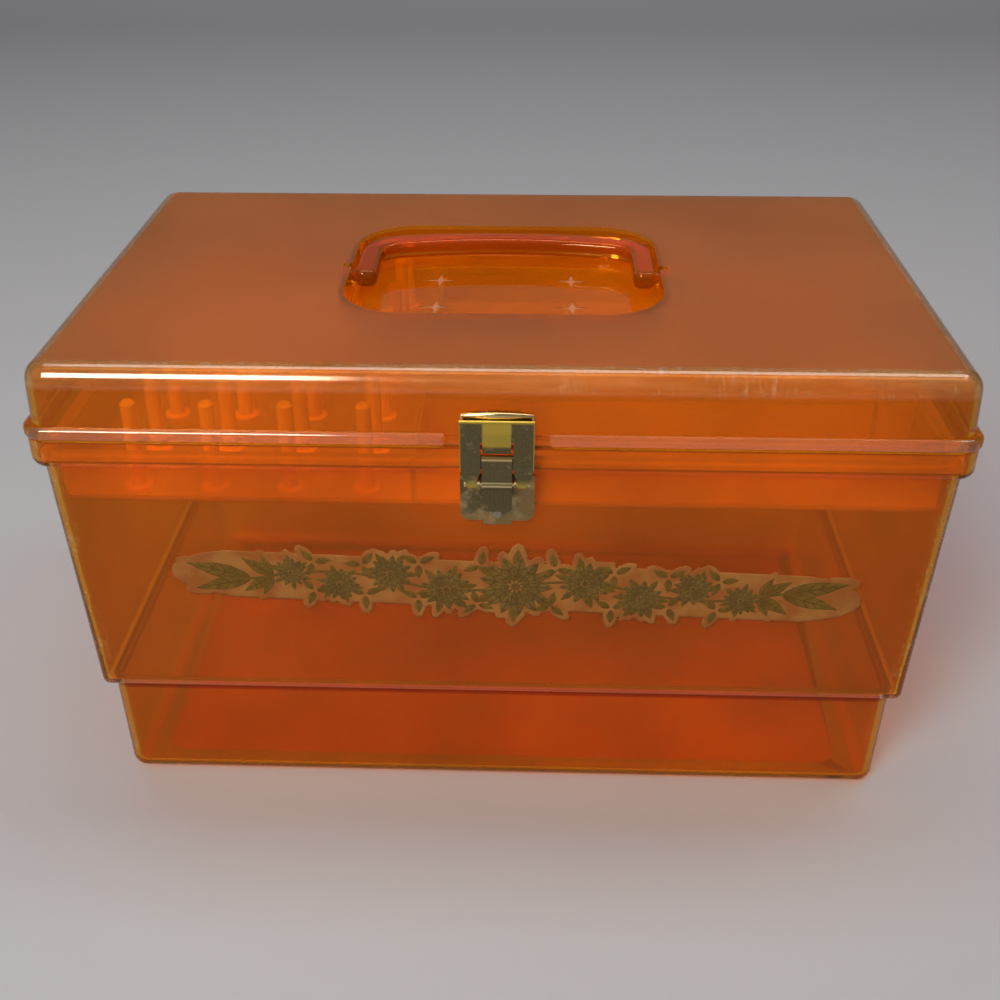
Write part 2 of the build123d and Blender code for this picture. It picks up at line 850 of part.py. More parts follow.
def stop_tail(x, angle, spans):
    """Flat tail on the knuckles, pointing back at an angle above the level."""
    tail = None
    for low_x, high_x in spans:
        length = hinge_tail + tail_root
        arm = Pos((low_x + high_x) / 2, hinge_barrel - tail_root + length / 2, 0)
        arm = arm * Box(high_x - low_x, length, hinge_sheet)
        tail = arm if tail is None else tail + arm
    first, last = spans[0][0], spans[-1][1]
    bar = Box(last - first, tail_bar, hinge_sheet)
    tail += Pos((first + last) / 2, hinge_barrel + hinge_tail - tail_bar / 2, 0) * bar
    return Pos(x, hinge_axis_out, hinge_axis_z) * Rot(angle, 0, 0) * tail


def hinge_lid_leaf(x):
    t = hinge_sheet
    low = seam_z + bead_height + t
    high = seam_z + hinge_leaf + 2 * t
    bottom = hinge_axis_z + leaf_short
    back = band_half_y + clearance
    leaf_points = [
        (lid_out(high), high),
        (lid_out(high) + t, high),
        (lid_out(low + t) + t, low + t),
        (back + t, low - t),
        (back + t, bottom),
        (back, bottom),
        (back, low - leaf_crank),
        (lid_out(low), low),
    ]
    leaf = leaf_strip(leaf_points, x - hinge_width / 2, x + hinge_width / 2)
    leaf -= rod(hinge_barrel + clearance, x - hinge_width, x + hinge_width, hinge_axis_out, hinge_axis_z)
    for low_x, high_x in hinge_knuckles(1):
        leaf += knuckle(x + low_x, x + high_x)
        leaf += block(
            (x + low_x, x + high_x),
            (back, back + t),
            (hinge_axis_z, hinge_axis_z + hinge_barrel + leaf_root),
        )
    leaf += stop_tail(x, tail_angle, hinge_knuckles(1))
    leaf -= rod(hinge_pin_radius + running, x - hinge_width, x + hinge_width, hinge_axis_out, hinge_axis_z)
    return leaf - rivet_holes(hinge_rivet_places(lid_hinge_frame))


def hinge_pin(x):
    end = hinge_width / 2 + hinge_pin_end
    return rod(hinge_pin_radius, x - end, x + end, hinge_axis_out, hinge_axis_z)


def hinge_rivets(frame, wall):
    group = []
    for place in hinge_rivet_places(frame):
        group.append(rivet(place * Rot(0, 0, 180), hinge_sheet, wall))
    return Compound(children=group)


# Film on the front wall


def front_garland():
    """Long die-cut film, full in the middle and narrower to its ends, laid on the wall."""
    half = film_length / 2
    tip = film_height * film_tip
    belly = film_height / 2
    near, near_v = film_length * 0.2, belly * film_near
    far, far_v = film_length * 0.25, belly * film_far
    outline = (
        Line((-half, -tip), (-half, tip))
        + Spline((-half, tip), (-near, near_v), (0, belly), (far, far_v), (half, tip))
        + Line((half, tip), (half, -tip))
        + Spline((half, -tip), (near, -near_v), (0, -belly), (-far, -far_v), (-half, -tip))
    )
    face = make_face(outline)
    film = extrude(Plane.XZ * face, amount=film_thick)
    return wall_place(film_x, film_z) * Rot(0, film_tilt, 0) * film


def main():
    os.makedirs("parts", exist_ok=True)
    export(base_tub(), "base_tub")
    export(lid(), "lid")
    export(handle(), "handle")
    export(tray(), "tray")
    export(spool_pegs(), "spool_pegs")
    export(latch_bracket(), "latch_bracket")
    export(latch_pin(), "latch_pin")
    export(latch_frame(), "latch_frame")
    export(latch_thumb_strip(), "latch_thumb_strip")
    export(latch_spring(), "latch_spring")
    export(latch_keeper(), "latch_keeper")
    bracket_rivets = [rivet(place, catch_sheet, tub_grip) for place in bracket_rivet_places()]
    export(Compound(children=bracket_rivets), "latch_bracket_rivets")
    keeper_rivets = [rivet(place, catch_sheet, lid_wall) for place in keeper_rivet_places()]
    export(Compound(children=keeper_rivets), "latch_keeper_rivets")
    for name, x in (("left", -hinge_x), ("right", hinge_x)):
        export(hinge_base_leaf(x), f"hinge_base_leaf_{name}")
        export(hinge_lid_leaf(x), f"hinge_lid_leaf_{name}")
        export(hinge_pin(x), f"hinge_pin_{name}")
    export(hinge_rivets(tub_hinge_frame, tub_grip), "hinge_base_rivets")
    export(hinge_rivets(lid_hinge_frame, lid_wall), "hinge_lid_rivets")
    export(front_garland(), "front_garland")


main()
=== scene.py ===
# %% [markdown]
# A sewing box of clear amber plastic, dressed for the camera. The shapes come from the packed
# model: every piece is already in metres, in the frame of the real box, with the origin on the
# floor under the middle and the front towards -Y. This file adds materials, the print on the
# film, the floor, the light and the camera. We start by loading that frame and noting its size.

# %% Load the frame
import math
import bpy
import numpy as np
from mathutils import Matrix, Vector


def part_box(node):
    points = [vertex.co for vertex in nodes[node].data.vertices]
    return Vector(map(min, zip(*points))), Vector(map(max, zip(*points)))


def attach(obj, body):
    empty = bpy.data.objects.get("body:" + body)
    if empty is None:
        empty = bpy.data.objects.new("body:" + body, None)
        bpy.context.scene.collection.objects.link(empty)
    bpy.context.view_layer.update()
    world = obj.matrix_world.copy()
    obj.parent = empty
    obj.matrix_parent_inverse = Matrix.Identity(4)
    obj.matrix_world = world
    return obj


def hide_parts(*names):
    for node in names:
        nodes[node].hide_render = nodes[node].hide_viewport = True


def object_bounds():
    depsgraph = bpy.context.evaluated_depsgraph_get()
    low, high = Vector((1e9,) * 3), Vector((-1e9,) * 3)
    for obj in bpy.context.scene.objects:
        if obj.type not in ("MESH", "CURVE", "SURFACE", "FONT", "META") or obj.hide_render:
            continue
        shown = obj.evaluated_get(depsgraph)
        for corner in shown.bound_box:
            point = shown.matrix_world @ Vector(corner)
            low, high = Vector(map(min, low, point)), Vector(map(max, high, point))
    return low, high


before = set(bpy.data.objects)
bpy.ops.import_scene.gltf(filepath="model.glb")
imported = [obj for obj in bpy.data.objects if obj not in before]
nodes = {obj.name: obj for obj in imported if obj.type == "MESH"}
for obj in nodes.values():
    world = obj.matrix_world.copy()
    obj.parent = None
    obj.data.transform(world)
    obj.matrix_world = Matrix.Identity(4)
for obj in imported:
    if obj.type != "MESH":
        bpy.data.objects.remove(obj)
solid_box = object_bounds()
box_low, box_high = (np.array(corner) for corner in solid_box)
MM = 0.001
print("solids from", (box_low / MM).round(1), "to", (box_high / MM).round(1), "mm")

# %% [markdown]
# The camera stands where the photographer stood: half a metre in front of the box's middle,
# 39 cm up, and looking down by 31 degrees. A camera is a place and three directions. We work the
# directions out from the yaw, pitch and roll, in radians, and give Blender the matrix, which is
# exact, where aiming with a constraint would lose the roll.

# %% Camera
EYE = np.array([12.6, -505.1, 389.6]) * MM
YAW, PITCH, ROLL = -0.039, 0.543, -0.005
SENSOR = 36.0
LENS = 1.2570 * SENSOR
SHIFT_ACROSS, SHIFT_UP = 0.0108, 0.0003
NEAREST = 10 * MM

forward = np.array([
    math.sin(YAW) * math.cos(PITCH), math.cos(YAW) * math.cos(PITCH), -math.sin(PITCH)
])
level = np.array([math.cos(YAW), -math.sin(YAW), 0.0])
upward = np.cross(level, forward)
right = math.cos(ROLL) * level + math.sin(ROLL) * upward
up = -math.sin(ROLL) * level + math.cos(ROLL) * upward

camera_data = bpy.data.cameras.new("camera")
camera = bpy.data.objects.new("camera", camera_data)
bpy.context.collection.objects.link(camera)
camera_data.sensor_width = SENSOR
camera_data.lens = LENS
camera_data.shift_x = SHIFT_ACROSS
camera_data.shift_y = SHIFT_UP
camera_data.clip_start = NEAREST
turn = Matrix(np.column_stack([right, up, -forward]).tolist()).to_4x4()
camera.matrix_world = Matrix.Translation(Vector(EYE)) @ turn
bpy.context.scene.camera = camera
print("lens", round(camera_data.lens, 2), "mm")

# %% [markdown]
# Every new shape in this file is a surface over a grid of two parameters. One helper turns an
# array of points into a mesh: neighbours along both axes share a four-sided face. Working on
# whole arrays is quick, and the formula of each shape stays readable.

# %% Grid helper
def grid_faces(rows, columns, first=0):
    """Indices of the quads between neighbours of a rows by columns grid."""
    index = first + np.arange(rows * columns).reshape(rows, columns)
    corners = [index[:-1, :-1], index[:-1, 1:], index[1:, 1:], index[1:, :-1]]
    return np.stack(corners, -1).reshape(-1, 4)


def mesh_piece(name, points, faces, material, uv=None):
    """Object with a mesh of the points and faces; uv holds one pair a point."""
    mesh = bpy.data.meshes.new(name)
    mesh.from_pydata(points.reshape(-1, 3).tolist(), [], faces.tolist())
    mesh.polygons.foreach_set("use_smooth", np.ones(len(mesh.polygons), bool))
    if uv is not None:
        corner = np.zeros(len(mesh.loops), np.int32)
        mesh.loops.foreach_get("vertex_index", corner)
        layer = mesh.uv_layers.new(name="shape")
        layer.data.foreach_set("uv", uv.reshape(-1, 2)[corner].ravel())
    mesh.materials.append(material)
    mesh.update()
    piece = bpy.data.objects.new(name, mesh)
    bpy.context.collection.objects.link(piece)
    return piece


print("a grid of 3 by 3 points has", len(grid_faces(3, 3)), "faces")

# %% [markdown]
# Small helpers for node trees. A material is a graph, and writing the graph by hand takes three
# lines a node, so these make a node, set its plain values and link it in one go.

# %% Node helpers
def node(tree, kind, links=None, **values):
    """New node of a kind: values set its properties or inputs, links feed its inputs."""
    made = tree.nodes.new(kind)
    for key, value in values.items():
        if hasattr(made, key):
            setattr(made, key, value)
        else:
            made.inputs[key.replace("_", " ")].default_value = value
    for key, source in (links or {}).items():
        tree.links.new(source, made.inputs[key])
    return made


def new_material(name):
    """Material with an empty tree, the tree and its output node."""
    material = bpy.data.materials.new(name)
    material.use_nodes = True
    tree = material.node_tree
    tree.nodes.clear()
    return material, tree, tree.nodes.new("ShaderNodeOutputMaterial")


def ramp(tree, source, stops):
    """Colour ramp over (place, grey or colour) stops."""
    made = tree.nodes.new("ShaderNodeValToRGB")
    band = made.color_ramp
    while len(band.elements) < len(stops):
        band.elements.new(1.0)
    for element, (place, colour) in zip(band.elements, stops):
        element.position = place
        element.color = (colour, colour, colour, 1) if np.isscalar(colour) else (*colour, 1)
    tree.links.new(source, made.inputs["Fac"])
    return made.outputs["Color"]


def math_node(tree, operation, first, second=0.0):
    """Arithmetic on two values, each a socket or a number."""
    made = node(tree, "ShaderNodeMath", operation=operation)
    for slot, value in enumerate((first, second)):
        if isinstance(value, (int, float)):
            made.inputs[slot].default_value = value
        else:
            tree.links.new(value, made.inputs[slot])
    return made.outputs[0]


def blend(tree, share, first, second):
    """Colour that goes from first to second as share goes from 0 to 1."""
    made = node(tree, "ShaderNodeMix", data_type="RGBA")
    tree.links.new(share, made.inputs[0])
    for slot, value in ((6, first), (7, second)):
        if isinstance(value, tuple):
            made.inputs[slot].default_value = (*value, 1)
        else:
            tree.links.new(value, made.inputs[slot])
    return made.outputs[2]


print("helpers for nodes, materials, ramps, arithmetic and blends")

# %% [markdown]
# A mask is a value from 0 to 1 that says where an effect shows. Nearly all masks here are limits
# on a place in the box, such as "higher than 182 mm". Object coordinates of the pieces are the
# box's own metres, so each limit reads like a measure on the real thing. The soft width on both
# sides of a limit keeps its border from looking cut.

# %% Masks
def place_socket(tree):
    """Object coordinates."""
    return tree.nodes.new("ShaderNodeTexCoord").outputs["Object"]


def axes_of(tree):
    """Object coordinates as the three values X, Y and Z."""
    parts = node(tree, "ShaderNodeSeparateXYZ", {0: place_socket(tree)})
    return parts.outputs["X"], parts.outputs["Y"], parts.outputs["Z"]


def absolute(tree, value):
    """Distance of the value from 0, to either side."""
    return math_node(tree, "ABSOLUTE", value)


def times(tree, first, *others):
    """Product of masks or values."""
    for other in others:
        first = math_node(tree, "MULTIPLY", first, other)
    return first


def either(tree, first, *others):
    """Largest of the masks."""
    for other in others:
        first = math_node(tree, "MAXIMUM", first, other)
    return first


def beyond(tree, value, start, end, most=1.0):
    """Mask that goes from 0 to most while the value goes from start to end."""
    links = {"Value": value}
    made = node(tree, "ShaderNodeMapRange", links, From_Min=start, From_Max=end, To_Max=most)
    return made.outputs[0]


def over(tree, distance, limit, soft):
    """Mask that rises from soft mm before the limit to soft mm past it."""
    return beyond(tree, distance, (limit - soft) * MM, (limit + soft) * MM)


def under(tree, distance, limit, soft):
    """Mask that falls from soft mm before the limit to soft mm past it."""
    return beyond(tree, distance, (limit + soft) * MM, (limit - soft) * MM)


print("limits are in steps of", MM, "m")

# %% [markdown]
# Three surface effects get a node group each, which is built once and placed in a material with
# that material's own values. Grain is a fine even roughness as a mould leaves it. Wear is the
# pale scuffing that handling leaves on the plastic. Tarnish is the slow cloudy change from clean
# to dull metal. First the helpers that make a group, place it, and fill it with noise.

# %% Group helpers
def new_group(name, inputs, outputs):
    """Empty node group with float inputs {name: default} and float outputs."""
    tree = bpy.data.node_groups.new(name, "ShaderNodeTree")
    for label, default in inputs.items():
        socket = tree.interface.new_socket(label, in_out="INPUT", socket_type="NodeSocketFloat")
        socket.default_value = default
    for label in outputs:
        tree.interface.new_socket(label, in_out="OUTPUT", socket_type="NodeSocketFloat")
    return tree, tree.nodes.new("NodeGroupInput"), tree.nodes.new("NodeGroupOutput")


def noise(tree, place, scale, **values):
    """Cloudy noise from 0 to 1; the scale is a number or a socket."""
    links = {"Vector": place}
    if isinstance(scale, float):
        values["Scale"] = scale
    else:
        links["Scale"] = scale
    return node(tree, "ShaderNodeTexNoise", links, **values).outputs["Fac"]


def group_node(tree, group, links=None, **values):
    """Node that shows a group, with plain values and links for its inputs."""
    made = tree.nodes.new("ShaderNodeGroup")
    made.node_tree = group
    for key, value in values.items():
        made.inputs[key].default_value = value
    for key, source in (links or {}).items():
        tree.links.new(source, made.inputs[key])
    return made


print("helpers for groups and noise")

# %% [markdown]
# The grain and the tarnish are plain noise. The wear multiplies two noises, one in patches and
# one drawn out into streaks, and keeps only what stands above a level, so it comes out as small
# separate ticks. Amount lifts the product towards that level.

# %% Grain, wear and tarnish
WEAR_LEVEL, WEAR_CONTRAST = 0.72, 6.0

grain_group, entry, leave = new_group("mould_grain", {"Scale": 1500.0, "Depth": 1.0}, ["Height"])
pits = noise(grain_group, place_socket(grain_group), entry.outputs["Scale"], Detail=2.0)
depth = times(grain_group, pits, entry.outputs["Depth"])
grain_group.links.new(depth, leave.inputs["Height"])

wear_group, entry, leave = new_group("handling_wear", {"Where": 1.0, "Amount": 0.3}, ["Mask"])
place = place_socket(wear_group)
patches = noise(wear_group, place, 60.0, Detail=8.0, Roughness=0.75)
drawn_out = node(wear_group, "ShaderNodeMapping", {"Vector": place},
                 Rotation=(0.3, 0.5, 0.7), Scale=(900.0, 60.0, 240.0))
streaks = noise(wear_group, drawn_out.outputs[0], 1.0, Detail=4.0, Roughness=0.6)
ticks = times(wear_group, patches, streaks, 2.0)
ticks = math_node(wear_group, "ADD", ticks, entry.outputs["Amount"])
ticks = times(wear_group, math_node(wear_group, "SUBTRACT", ticks, WEAR_LEVEL), WEAR_CONTRAST)
ticks = node(wear_group, "ShaderNodeClamp", {"Value": ticks}).outputs[0]
wear_group.links.new(times(wear_group, ticks, entry.outputs["Where"]), leave.inputs["Mask"])

tarnish_group, entry, leave = new_group("tarnish", {"Scale": 160.0}, ["Cloud", "Specks"])
place = place_socket(tarnish_group)
cloud = noise(tarnish_group, place, entry.outputs["Scale"], Detail=5.0, Roughness=0.6)
tarnish_group.links.new(cloud, leave.inputs["Cloud"])
tarnish_group.links.new(noise(tarnish_group, place, 2600.0, Detail=2.0), leave.inputs["Specks"])
print("groups", [group.name for group in bpy.data.node_groups])

# %% [markdown]
# The box stands on a plain pale floor that rises behind it in a quarter circle, so the camera
# sees no horizon. It is stage, not part of the object. A matte floor of one colour keeps the
# soft shadow and the amber glow that clear plastic throws beside it.

# %% Floor
FLOOR_GREY = (0.42, 0.42, 0.44)
MATTE_SHINE = 0.1
FLAT_ROWS, BEND_ROWS = 8, 24


def floor_grid(half_width, front, back, bend, wall):
    """Strip along Y: flat, then y = back + bend sin a, z = bend (1 - cos a), then straight up."""
    flat = np.linspace(front, back, FLAT_ROWS)
    a = np.linspace(0, math.pi / 2, BEND_ROWS)[1:]
    y = np.concatenate([flat, back + bend * np.sin(a), [back + bend]])
    z = np.concatenate([np.zeros(FLAT_ROWS), bend * (1 - np.cos(a)), [bend + wall]])
    x = np.array([-half_width, half_width])
    return np.stack(np.broadcast_arrays(x[None, :], y[:, None], z[:, None]), -1)


floor_material, tree, output = new_material("floor_paper")
shader = node(tree, "ShaderNodeBsdfPrincipled", Base_Color=(*FLOOR_GREY, 1), Roughness=0.95)
shader.inputs["Specular IOR Level"].default_value = MATTE_SHINE
tree.links.new(shader.outputs[0], output.inputs["Surface"])
points = floor_grid(half_width=12.0, front=-12.0, back=1.6, bend=0.8, wall=2.0)
floor = mesh_piece("floor", points, grid_faces(*points.shape[:2]), floor_material)
print("floor", len(floor.data.polygons), "faces")

# %% [markdown]
# Light. The photo has one bright window, high up and to the left of the camera, which lays a
# long cream streak on the left half of the lid's rounded front edge, and dim light from
# everywhere else. A streak on a round edge is the mirror image of the lamp, so the lamp's place
# and width set where it starts and ends. The wide lamp above the back lifts the lid's top. A
# lamp's wide side must lie along the box, so we build its three axes from cross products instead
# of trusting an automatic aim. Places and sizes are in metres, powers in watts.

# %% Lamps and world
def area_lamp(name, place, aim, size, power, tint):
    """Rectangular lamp at a place, shining at aim, with its width kept level along X."""
    data = bpy.data.lights.new(name, "AREA")
    data.shape = "RECTANGLE"
    data.size, data.size_y = size
    data.energy = power
    data.color = tint
    lamp = bpy.data.objects.new(name, data)
    bpy.context.collection.objects.link(lamp)
    behind = (Vector(place) - Vector(aim)).normalized()
    across = (Vector((1, 0, 0)) - behind.x * behind).normalized()
    axes = Matrix((across, behind.cross(across), behind)).transposed()
    lamp.matrix_world = Matrix.Translation(Vector(place)) @ axes.to_4x4()


area_lamp("window", place=(-0.56, -1.17, 1.26), aim=(-0.12, -0.11, 0.2), size=(0.5, 0.6),
          power=20, tint=(1.0, 0.96, 0.88))
area_lamp("ceiling", place=(0.2, 0.25, 1.7), aim=(0.1, 0.1, 0.2), size=(2.0, 0.5),
          power=14, tint=(1.0, 0.98, 0.95))

world = bpy.data.worlds.new("world")
bpy.context.scene.world = world
world.use_nodes = True
tree = world.node_tree
tree.nodes.clear()
sky = node(tree, "ShaderNodeBackground", Color=(0.95, 0.96, 1.0, 1), Strength=0.24)
tree.links.new(sky.outputs[0], tree.nodes.new("ShaderNodeOutputWorld").inputs["Surface"])
bpy.context.scene.view_settings.view_transform = "Standard"
print("lamps", len(bpy.data.lights))

# %% [markdown]
# The clear plastic. Polystyrene lets light through, tints it amber and scatters a little of it,
# which gives the glow. A Principled surface with transmission bends what is seen through it,
# but lamps can't shine through a refracting surface, so the inside would be black. Rays that
# look for a lamp therefore meet a tinted transparent shader in its place. The reflections get
# an amber tint as well, because the plastic's shine mixes with the glow from inside.

# %% Amber plastic
AMBER = (0.77, 0.33, 0.010)
DEEP_AMBER = (0.76, 0.24, 0.01)
PALE_AMBER = (0.96, 0.70, 0.13)
BRIGHT_AMBER = (1.0, 0.70, 0.16)
AMBER_SHINE = (1.0, 0.70, 0.38)
LAMP_TINT = (0.84, 0.61, 0.30)
AMBER_IOR = 1.4
DRIFT = 0.12


def lets_lamps_through(tree, shader, output):
    """Surface that is the shader for every ray but those to lamps, which it tints."""
    clear = node(tree, "ShaderNodeBsdfTransparent", Color=(*LAMP_TINT, 1))
    rays = tree.nodes.new("ShaderNodeLightPath")
    mix = tree.nodes.new("ShaderNodeMixShader")
    tree.links.new(rays.outputs["Is Shadow Ray"], mix.inputs[0])
    tree.links.new(shader.outputs[0], mix.inputs[1])
    tree.links.new(clear.outputs[0], mix.inputs[2])
    tree.links.new(mix.outputs[0], output.inputs["Surface"])


def mould_colour(tree, colour, spread=DRIFT):
    """Slow drift of thickness in the moulding: the colour times 1 plus or minus the spread."""
    low = tuple(c * (1 - spread) for c in colour)
    high = tuple(min(1.0, c * (1 + spread)) for c in colour)
    return ramp(tree, noise(tree, place_socket(tree), 14.0, Detail=2.0), [(0.3, low), (0.7, high)])


def amber_plastic(name, colour, roughness, clearness, finish=None):
    """Clear amber plastic; finish(tree, tint, roughness) gives a new tint and roughness."""
    material, tree, output = new_material(name)
    shader = node(tree, "ShaderNodeBsdfPrincipled", IOR=AMBER_IOR, Roughness=roughness,
                  Specular_Tint=(*AMBER_SHINE, 1))
    shader.inputs["Transmission Weight"].default_value = clearness
    tint = mould_colour(tree, colour)
    if finish:
        tint, rough = finish(tree, tint, roughness)
        tree.links.new(rough, shader.inputs["Roughness"])
    tree.links.new(tint, shader.inputs["Base Color"])
    lets_lamps_through(tree, shader, output)
    return material


def dress(material, *names):
    """Gives the named pieces the material."""
    for name in names:
        slots = nodes[name].data.materials
        slots.clear()
        slots.append(material)
    print(material.name, "on", ", ".join(names))


dress(amber_plastic("amber_handle", DEEP_AMBER, 0.03, 0.92), "handle")
dress(amber_plastic("amber_tray", PALE_AMBER, 0.1, 0.78), "tray")
dress(amber_plastic("amber_pegs", BRIGHT_AMBER, 0.1, 0.45), "spool_pegs")

# %% [markdown]
# The tub is the same plastic after years of use. Its two front corners are scuffed, because it
# was pushed and carried by them. A pale line is painted on the rounded lip of the step as its
# highlight, and a dark line is painted on top of the foot as its shadow. These are all masks by
# place: the corners follow the wall, which draws in by 0.0454 mm for each mm further down.

# %% Tub
SCUFF = (0.93, 0.80, 0.60)
SCUFF_ROUGHNESS = 0.5
# Pale painted highlight, for the step's lip and the lid's bead, and dark painted shadow for the
# foot.
PAINTED_HIGHLIGHT = (0.98, 0.62, 0.40)
PAINTED_SHADOW = (0.40, 0.09, 0.01)
WALL_TOP, WALL_SLOPE = 159.5, 0.0454


def front_corners(tree):
    """Mask of the front corners: |x| + slope (top - z) past 166 mm, in the front 20 mm."""
    x, y, z = axes_of(tree)
    drop = math_node(tree, "SUBTRACT", WALL_TOP * MM, z)
    at_rim = math_node(tree, "ADD", absolute(tree, x), times(tree, drop, WALL_SLOPE))
    return times(tree, over(tree, at_rim, 166.0, 3.0), under(tree, y, -87.5, 7.5))


def step_highlight_and_shadow(tree):
    """Masks of the painted highlight on the step's rounded lip, and of the painted shadow on top
    of the foot.
    """
    x, y, z = axes_of(tree)
    lip = times(tree, over(tree, z, 51.05, 0.15), under(tree, z, 54.2, 0.4))
    foot_shadow = times(tree, over(tree, z, 47.8, 0.4), under(tree, z, 50.9, 0.1))
    return lip, foot_shadow


def used_tub(tree, tint, roughness):
    """Tint and roughness: the step's painted highlight and shadow, and the scuffs at the front
    corners.
    """
    lip, foot_shadow = step_highlight_and_shadow(tree)
    # The lip gets a painted highlight and the top of the foot a painted shadow.
    tint = blend(tree, foot_shadow, blend(tree, lip, tint, PAINTED_HIGHLIGHT), PAINTED_SHADOW)
    where = {"Where": front_corners(tree)}
    scuffs = group_node(tree, wear_group, where, Amount=0.17).outputs["Mask"]
    rough = ramp(tree, scuffs, [(0.0, roughness), (1.0, SCUFF_ROUGHNESS)])
    return blend(tree, scuffs, tint, SCUFF), rough


dress(amber_plastic("amber_tub", AMBER, 0.07, 0.92, used_tub), "base_tub")

# %% [markdown]
# The lid is one moulding with two finishes: its flat top is grained and matte, and the rounded
# edge, the wall and the handle well are polished. The top is the only place at full height, so
# a comparison with the height tells the two apart. The rounded edge and the bead keep a clear
# shine, which is a coat in their place only, on the outside of the lid.

# %% Places on the lid
TOP = float(box_high[2]) / MM
EDGE_ROUND = 8.0


def lid_places(tree):
    """Masks of the grained panel, the rounded edge about it and the outside of the bead."""
    x, y, z = axes_of(tree)
    aside, forth = absolute(tree, x), absolute(tree, y)
    panel = over(tree, z, TOP - 0.05, 0.01)
    border = either(tree, over(tree, aside, 163.0, 0.5), over(tree, forth, 96.0, 0.5))
    off_panel = math_node(tree, "SUBTRACT", 1.0, panel)
    edge = times(tree, over(tree, z, TOP - EDGE_ROUND, 1.0), border, off_panel)
    outside = either(tree, over(tree, aside, 173.1, 0.2), over(tree, forth, 106.1, 0.2))
    return panel, edge, times(tree, outside, under(tree, z, 176.9, 0.1))


def lid_wear_and_sheen(tree, edge):
    """Masks of the haze on the rounded edge, partly rubbing and partly painted sheen, and of its
    scuffs and the dots on its corner.
    """
    x, y, z = axes_of(tree)
    place = place_socket(tree)
    drawn_out = node(tree, "ShaderNodeMapping", {"Vector": place}, Scale=(25.0, 150.0, 150.0))
    rubbing = noise(tree, drawn_out.outputs[0], 1.0, Detail=5.0, Roughness=0.65)
    haze_and_sheen = times(tree, beyond(tree, rubbing, 0.3, 0.75), edge)
    where = {"Where": times(tree, edge, over(tree, x, 15.0, 35.0))}
    scuffs = group_node(tree, wear_group, where, Amount=0.14).outputs["Mask"]
    corner = times(tree, over(tree, z, TOP - 0.4, 0.1), edge)
    dots = beyond(tree, noise(tree, place, 520.0, Detail=2.0), 0.55, 0.62)
    return haze_and_sheen, either(tree, scuffs, times(tree, dots, corner))


def well_star_glints(tree):
    """Mask of the four star marks, which are cut half a millimetre into the well's floor and
    painted pale as a glint.
    """
    x, y, z = axes_of(tree)
    cut = times(tree, under(tree, z, 187.55, 0.05), over(tree, z, 187.15, 0.05))
    return times(tree, cut, under(tree, absolute(tree, y), 27.0, 1.0))


print("top at", round(TOP, 2), "mm")

# %% [markdown]
# The grain of the panel is a bump, and its rough surface blurs what lies under it, which makes
# the top look almost solid. Hands have rubbed the rounded edge: a soft ochre haze lies on it,
# partly that rubbing and partly a painted sheen, with pale ticks on its right half and a dotted
# line where it meets the panel. The bead is painted pale pink along its length as a highlight,
# and the four star marks in the well's floor are painted pale as glints.

# %% Lid
LID_AMBER = (0.72, 0.32, 0.007)
PANEL_AMBER = (0.66, 0.31, 0.135)
PANEL_DRIFT = 0.05
# Haze colour for the rounded edge: partly rubbing, partly a painted sheen.
HAZE_AND_SHEEN = (0.98, 0.66, 0.30)
# Pale colour painted on the star marks as a glint.
STAR_GLINT = (1.0, 0.97, 0.80)
# Shares of the haze with its painted sheen, and of the painted highlight on the bead.
HAZE_AND_SHEEN_SHARE, BEAD_HIGHLIGHT_SHARE = 0.8, 0.7
POLISH, PANEL_ROUGHNESS, HAZE_ROUGHNESS = 0.04, 0.5, 0.25
LID_CLEARNESS, COAT_ROUGHNESS = 0.9, 0.12

lid_material, tree, output = new_material("amber_lid")
shader = node(tree, "ShaderNodeBsdfPrincipled", IOR=AMBER_IOR, Specular_Tint=(*AMBER_SHINE, 1))
shader.inputs["Transmission Weight"].default_value = LID_CLEARNESS
shader.inputs["Coat Roughness"].default_value = COAT_ROUGHNESS
panel, edge, bead = lid_places(tree)
haze_and_sheen, scuffs = lid_wear_and_sheen(tree, edge)
tree.links.new(either(tree, edge, bead), shader.inputs["Coat Weight"])

polished, grained = mould_colour(tree, LID_AMBER), mould_colour(tree, PANEL_AMBER, PANEL_DRIFT)
tint = blend(tree, panel, polished, grained)
# Haze on the rounded edge, partly a painted sheen.
tint = blend(tree, times(tree, haze_and_sheen, HAZE_AND_SHEEN_SHARE), tint, HAZE_AND_SHEEN)
# The bead is painted pale pink along its length as a highlight.
tint = blend(tree, times(tree, bead, BEAD_HIGHLIGHT_SHARE), tint, PAINTED_HIGHLIGHT)
tint = blend(tree, scuffs, tint, SCUFF)
# The star marks are painted pale as glints.
tree.links.new(blend(tree, well_star_glints(tree), tint, STAR_GLINT), shader.inputs["Base Color"])
rough = math_node(tree, "ADD", times(tree, panel, PANEL_ROUGHNESS), POLISH)
rough = math_node(tree, "ADD", rough, times(tree, haze_and_sheen, HAZE_ROUGHNESS))
tree.links.new(rough, shader.inputs["Roughness"])
grain = times(tree, group_node(tree, grain_group, Scale=1400.0).outputs["Height"], panel)
bump = node(tree, "ShaderNodeBump", {"Height": grain}, Strength=0.35, Distance=0.1 * MM)
tree.links.new(bump.outputs[0], shader.inputs["Normal"])
lets_lamps_through(tree, shader, output)
dress(lid_material, "lid")

# %% [markdown]
# The catch and hinges are thin sheet brass. Fresh brass is a pale gold. Years of handling leave
# it dull olive brown in clouds, and it stays bright where fingers and the keeper rub it: on
# lips, ridges and curled ends, which also carry painted glints in the same bright colour. One
# function mixes the dull and the bright metal by a mask.

# %% Brass
PALE_GOLD = (0.74, 0.56, 0.27)
YELLOW_BRASS = (0.62, 0.44, 0.07)
COPPERY = (0.45, 0.27, 0.10)
OLIVE = (0.14, 0.11, 0.042)
GREY_OLIVE = (0.19, 0.155, 0.085)
CLOUD_SOFT = 0.2
ROUGHER_DULL, SMOOTHER_RUBBED = 0.18, 0.12


